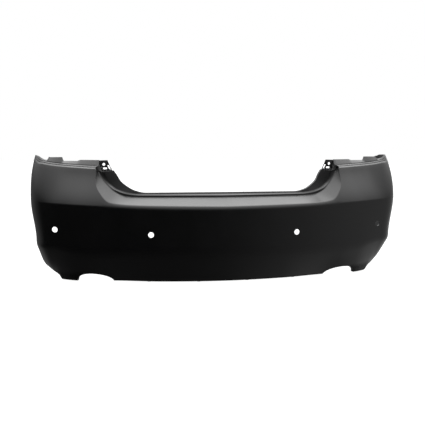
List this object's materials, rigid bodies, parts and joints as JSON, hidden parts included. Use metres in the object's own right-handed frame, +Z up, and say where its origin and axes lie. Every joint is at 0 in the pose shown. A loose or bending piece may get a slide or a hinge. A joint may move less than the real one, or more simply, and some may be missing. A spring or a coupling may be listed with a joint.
{
  "type": "bumper cover",
  "caption": "Bare rear bumper cover in black primed plastic with a boot opening, sensor holes, lamp flanges and two tailpipe cut-outs.",
  "frame": {"origin": "middle of the flat sill flange at the bottom of the boot opening, on its top face", "axes": "+X to the right seen from behind the car, +Y forward into the car, +Z up"},
  "size_m": [1.8622, 0.6657, 0.6057],
  "materials": {
    "primed_skin": "satin black primer on moulded plastic",
    "bracket_black": "unpainted black plastic, fine grain",
    "holder_black": "unpainted black plastic",
    "shield_metal": "dull rolled sheet",
    "rivet_metal": "bright blind rivets",
    "clip_steel": "dark phosphate spring steel"
  },
  "bodies": {
    "root": {"cover_skin": "primed_skin", "corner_bracket_left": "bracket_black", "corner_bracket_right": "bracket_black", "bracket_rivet_left_1": "rivet_metal", "bracket_rivet_left_2": "rivet_metal", "bracket_rivet_right_1": "rivet_metal", "bracket_rivet_right_2": "rivet_metal", "sensor_holder_inner_left": "holder_black", "sensor_holder_outer_left": "holder_black", "sensor_holder_inner_right": "holder_black", "sensor_holder_outer_right": "holder_black", "tailpipe_shield_left": "shield_metal", "tailpipe_shield_right": "shield_metal", "shield_rivet_left_1": "rivet_metal", "shield_rivet_left_2": "rivet_metal", "shield_rivet_right_1": "rivet_metal", "shield_rivet_right_2": "rivet_metal", "lip_clip_nut_left_1": "clip_steel", "lip_clip_nut_left_2": "clip_steel", "lip_clip_nut_right_1": "clip_steel", "lip_clip_nut_right_2": "clip_steel", "arch_clip_nut_left_1": "clip_steel", "arch_clip_nut_left_2": "clip_steel", "arch_clip_nut_left_3": "clip_steel", "arch_clip_nut_right_1": "clip_steel", "arch_clip_nut_right_2": "clip_steel", "arch_clip_nut_right_3": "clip_steel", "side_retainer_left": "holder_black", "side_retainer_right": "holder_black"}
  },
  "joints": []
}
